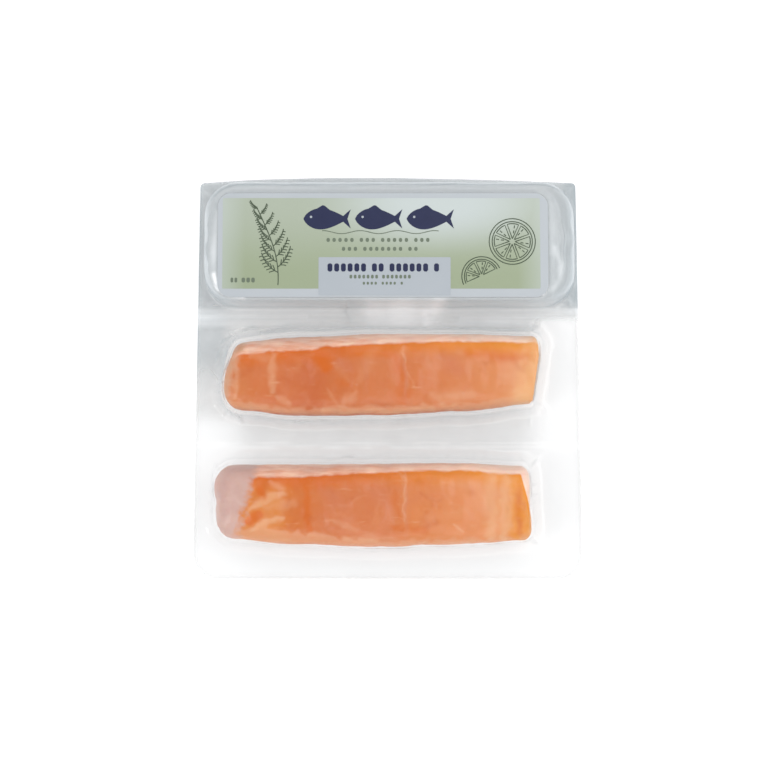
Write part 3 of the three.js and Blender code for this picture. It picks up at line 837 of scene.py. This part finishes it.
def salmon_finish(node):
    """Raw frozen salmon: wet orange muscle in flakes, pale fat between, a pink grey skin side, faint frost.

    The film lies wet on it with no air between, so the gloss is the film's and the flesh has hardly any.
    """
    material, add = new_material("frozen_raw_" + node)
    where = add("TexCoord", output="Object")
    from_left, from_tip, from_skin_edge, near_band, seam, pale, deep, rosy = [
        add("Attribute", output="Fac", attribute_name=name)
        for name in ("from_left", "from_tip", "from_skin_edge", "near_band", "seam", "pale", "deep", "rosy")]
    swirl = {"Vector": where, "Scale": 1 / (12 * MM), "Detail": 4, "Roughness": 0.6, "Distortion": 0.5}
    lumps = add("TexNoise", swirl)
    ragged = add("TexNoise", {"Vector": where, "Scale": 1 / (5 * MM), "Detail": 4, "Roughness": 0.65})
    # Fat flecks lie aslant, about 9 mm long and 1.5 mm wide, and fibres likewise, about 3 mm long.
    aslant = add("Mapping", {"Vector": where, "Rotation": (0, 0, math.radians(35)), "Scale": (1, 5.5, 1)})
    flecks = add("TexNoise", {"Vector": aslant, "Scale": 1 / (9 * MM), "Detail": 3, "Roughness": 0.55})
    fibres = add("TexNoise", {"Vector": aslant, "Scale": 1 / (3 * MM), "Detail": 4, "Roughness": 0.6})
    frost = add("TexNoise", {"Vector": where, "Scale": 1 / (2.4 * MM), "Detail": 5, "Roughness": 0.7})
    # Ragged edges: each distance wavers by a few millimetres.
    along = add("Math", {0: lumps, 1: 14, 2: from_left}, operation="MULTIPLY_ADD")
    tip = add("Math", {0: ragged, 1: 14, 2: from_tip}, operation="MULTIPLY_ADD")
    skin = add("Math", {0: ragged, 1: 2.4, 2: from_skin_edge}, operation="MULTIPLY_ADD")
    # The skin side is pink with pale flecks and greyer in patches; it is paler towards the right end, partly
    # its own colour and partly painted light from the right.
    fleckier = add("MapRange", {"Value": flecks, "From Min": 0.35, "From Max": 0.65})
    greyer = add("MapRange", {"Value": lumps, "From Min": 0.45, "From Max": 0.7, "To Max": 0.45})
    rightward = add("MapRange", {"Value": along, "From Min": 60, "From Max": 140})
    paler = add("Math", {0: rightward, 1: 0.55}, operation="MULTIPLY")
    side = colour("#e6a486")
    for share, tint in ((fleckier, "#f6ccb2"), (greyer, "#d8b2a4"), (paler, "#f6e2d2")):
        side = add("Mix", {SHARE: share, UNDER: side, OVER: colour(tint)}, **OF_COLOURS)
    # The muscle's edge along the skin side is a deep orange, yellower to the right.
    edge = add("Mix", {SHARE: rightward, UNDER: colour("#d2660c"), OVER: colour("#e48e24")}, **OF_COLOURS)
    pink_end, pale_end, darker, lighter = ENDS[node]
    end = add("Mix", {SHARE: lumps, UNDER: colour(darker), OVER: colour(lighter)}, **OF_COLOURS)
    # Coat over coat: what it follows, where it starts, where it is full, how much it covers, its colour.
    # The noise in along adds 7 mm on average, so the muscle's stops are as much further on.
    stops = MUSCLE[node]
    coats = [(along, before[0] + 7, after[0] + 7, 1, colour(after[1]))
             for before, after in zip(stops, stops[1:])]
    coats += [(lumps, 0.54, 0.74, 0.45, colour("#bd5c28")),
              (lumps, 0.46, 0.26, 0.45, colour("#d88e62")),
              (flecks, 0.6, 0.76, 0.4, colour("#e0a67c")),
              (rosy, 0, 1, 0.5, colour("#cc7d60")),
              (deep, 0, 1, 0.85, colour("#d0640c")),
              (skin, 9.5, 1.6, 0.9, edge),
              # Painted light: the shaded near shoulder is lightened in a pale band.
              (near_band, 0, 1, 0.6, colour("#dca27c")),
              (seam, 0.1, 1, 0.55, colour("#efc8a8")),
              # Pale fat, and in places painted reflections of the film.
              (pale, 0, 1, 0.8, colour("#e6b792")),
              (skin, 2.0, 0.5, 1, side),
              (tip, pink_end + 10, pink_end + 4, 1, end),
              (tip, pale_end, pale_end + 13, 0.75, colour("#e8b078")),
              (frost, 0.62, 0.8, 0.25, colour("#e9cdbd"))]
    flesh = colour(stops[0][1])
    for source, low, high, most, tint in coats:
        cover = {"Value": source, "From Min": low, "From Max": high, "To Max": most}
        share = add("MapRange", cover, **SOFT_ENDS)
        flesh = add("Mix", {SHARE: share, UNDER: flesh, OVER: tint}, **OF_COLOURS)
    wet = add("MapRange", {"Value": lumps, "From Min": 0.3, "From Max": 0.7, "To Min": 0.4, "To Max": 0.6})
    grain = add("Bump", {"Height": fibres, "Strength": 0.35, "Distance": 0.25 * MM})
    body = {"Base Color": flesh, "Roughness": wet, "IOR": 1.12, "Normal": grain, "Subsurface Weight": 0.2,
            "Subsurface Radius": (1.0, 0.4, 0.2), "Subsurface Scale": 2 * MM}
    add("OutputMaterial", {"Surface": add("BsdfPrincipled", body)})
    return material


def finish_paper(add, where, ink, roughness):
    """Ends a print's material: ink over the paper's tooth, which is drawn coarser than real, at 0.9 mm."""
    tooth = add("TexNoise", {"Vector": where, "Scale": 1 / (0.9 * MM), "Detail": 3})
    skin = add("Bump", {"Height": tooth, "Strength": 0.12, "Distance": 0.08 * MM})
    sheet = {"Base Color": ink, "Roughness": roughness, "IOR": 1.5, "Normal": skin}
    add("OutputMaterial", {"Surface": add("BsdfPrincipled", sheet)})


def print_finish(name, first, second, lump, roughness):
    """Offset ink or bare coated paper: a flat colour with a faint mottle, its lumps in millimetres."""
    material, add = new_material(name)
    where = add("TexCoord", output="Object")
    mottle = add("TexNoise", {"Vector": where, "Scale": 1 / (lump * MM), "Detail": 3})
    ink = add("Mix", {SHARE: mottle, UNDER: colour(first), OVER: colour(second)}, **OF_COLOURS)
    finish_paper(add, where, ink, roughness)
    return material


def green_field_finish():
    """Pale green offset ink on coated paper: a soft blend, greener near, and a painted highlight that makes
    it nearly white at the far side.
    """
    material, add = new_material("pale_green_offset_ink")
    where = add("TexCoord", output="Object")
    across, back = (add("SeparateXYZ", {0: where}, output=axis) for axis in "XY")
    mottle = add("TexNoise", {"Vector": where, "Scale": 1 / (45 * MM), "Detail": 2})
    level = add("Math", {0: mottle, 1: 14 * MM, 2: back}, operation="MULTIPLY_ADD")
    depth = add("MapRange", {"Value": level, "From Min": 84 * MM, "From Max": 50 * MM}, **SOFT_ENDS)
    ink = add("Mix", {SHARE: depth, UNDER: colour("#abb4a3"), OVER: colour("#9ba68a")}, **OF_COLOURS)
    # A painted highlight, white: it starts 64 mm beside its middle or 28 mm before it, and is full at 12 and
    # 5 mm.
    squat = add("Mapping", {"Vector": where, "Scale": (0.66, 1.5, 0)})
    away = add("VectorMath", {0: squat, 1: (15 * MM, 118 * MM, 0)}, output="Value", operation="DISTANCE")
    painted_highlight_reach = {"Value": away, "From Min": 42 * MM, "From Max": 8 * MM, "To Max": 0.8}
    painted_highlight = add("MapRange", painted_highlight_reach, **SOFT_ENDS)
    # The field's last 10 mm fade at both ends.
    off_middle = add("Math", {0: across, 1: 3 * MM}, operation="ADD")
    off_middle = add("Math", {0: off_middle}, operation="ABSOLUTE")
    faded = add("MapRange", {"Value": off_middle, "From Min": 62 * MM, "From Max": 72 * MM, "To Max": 0.35})
    paler = add("Math", {0: faded, 1: painted_highlight}, operation="MAXIMUM")
    ink = add("Mix", {SHARE: paler, UNDER: ink, OVER: colour("#cad2d3")}, **OF_COLOURS)
    finish_paper(add, where, ink, 0.28)
    return material


# ---------------------------------------------------------------- the room round the pack

FLOOR_LEVEL = -0.3 * MM
FLOOR_SIZE = 40
# Lamps: name, place and size in metres, power in watts.
LAMPS = [
    ("key_right", (0.75, 0.2, 1.2), (0.9, 0.9), 5.2),
    ("window_left", (-0.95, -0.35, 0.7), (0.16, 0.8), 2.5),
    ("far_panel", (0.1, 0.85, 1.2), (1.3, 0.7), 3), ("near_panel", (0, -0.85, 1.2), (1.3, 0.7), 4)]
# How bright the surround is, all round and straight above, and how much the table glows.
SURROUND = 0.78
ZENITH = 0.22
TABLE_GLOW = 0.45


def light_table_finish():
    """Opal acrylic light table: white, matte and lit a little from below, so that shadows stay faint."""
    material, add = new_material("opal_light_table")
    table = {"Base Color": colour("#e2e2e2"), "Roughness": 0.9, "Emission Color": WHITE,
             "Emission Strength": TABLE_GLOW}
    add("OutputMaterial", {"Surface": add("BsdfPrincipled", table)})
    return material


def lamp(name, place, size, power):
    """A soft rectangular lamp that faces the pack."""
    light = bpy.data.lights.new(name, "AREA")
    light.shape = "RECTANGLE"
    light.size, light.size_y = size
    light.energy = power
    item = bpy.data.objects.new(name, light)
    bpy.context.scene.collection.objects.link(item)
    item.location = place
    item.rotation_euler = Vector(place).to_track_quat("Z", "Y").to_euler()


def surround():
    """An even white surround, dim over the camera, so that flat film doesn't mirror a white sky."""
    world = bpy.data.worlds.new("studio_surround")
    bpy.context.scene.world = world
    world.use_nodes = True
    world.node_tree.nodes.clear()
    add = functools.partial(add_node, world.node_tree)
    up = add("SeparateXYZ", {0: add("TexCoord", output="Generated")}, output="Z")
    fall = {"Value": up, "From Min": 0.84, "From Max": 0.95, "To Min": SURROUND, "To Max": ZENITH}
    strength = add("MapRange", fall, **SOFT_ENDS)
    add("OutputWorld", {"Surface": add("Background", {"Color": colour("#fcfdff"), "Strength": strength})})


def studio():
    """A white light table, soft panels on all sides and an even surround."""
    bpy.ops.mesh.primitive_plane_add(size=FLOOR_SIZE, location=(0, 0, FLOOR_LEVEL))
    floor = settle(bpy.context.active_object, "studio_floor")
    floor.data.materials.append(light_table_finish())
    for name, place, size, power in LAMPS:
        lamp(name, place, size, power)
    surround()
    bpy.context.scene.view_settings.view_transform = "Standard"


def camera():
    """The photograph's camera."""
    data = bpy.data.cameras.new("camera")
    data.lens = LENS_MM
    data.sensor_width = SENSOR_MM
    item = bpy.data.objects.new("camera", data)
    bpy.context.scene.collection.objects.link(item)
    tilt = math.radians(90 - VIEW_ELEVATION)
    x, y, z = VIEW_TARGET
    item.location = (x, y - VIEW_DISTANCE * math.sin(tilt), z + VIEW_DISTANCE * math.cos(tilt))
    item.rotation_euler = (tilt, 0, 0)
    bpy.context.scene.camera = item


# ---------------------------------------------------------------- the whole pack

def dress(item, material, slot, *nodes):
    """Gives a piece its finish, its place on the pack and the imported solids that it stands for."""
    item.data.materials.clear()
    item.data.materials.append(material)
    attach(item, "root")
    if nodes:
        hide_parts(*nodes)


loins = [loin(node) for node in LOIN_NAMES]
film = drawn_film(loins)
dress(film, drawn_film_finish(), "clear_film", "formed_film")
for item, node in zip(loins, LOIN_NAMES):
    dress(item, salmon_finish(node), "salmon_flesh", node)

printed = label_pieces()
inks = {
    "sheet": print_finish("coated_label_paper", "#b4babf", "#bbc0c4", 18, 0.3),
    "field": green_field_finish(),
    "box": print_finish("bare_coated_paper", "#a9b0b6", "#b1b7bd", 25, 0.3),
    "navy": print_finish("navy_offset_ink", "#1c2244", "#22294c", 4, 0.35),
    "grey": print_finish("grey_green_offset_ink", "#65705f", "#707b6b", 4, 0.35),
    "green": print_finish("dark_green_offset_ink", "#3f4d39", "#4c5a45", 4, 0.35),
}
for ink, pieces in printed.items():
    for piece in pieces:
        dress(piece, inks[ink], "label_paper", *(["label"] if ink == "sheet" else []))
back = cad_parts["back_film"]
back.data.materials.clear()
back.data.materials.append(backing_film_finish())

studio()
camera()
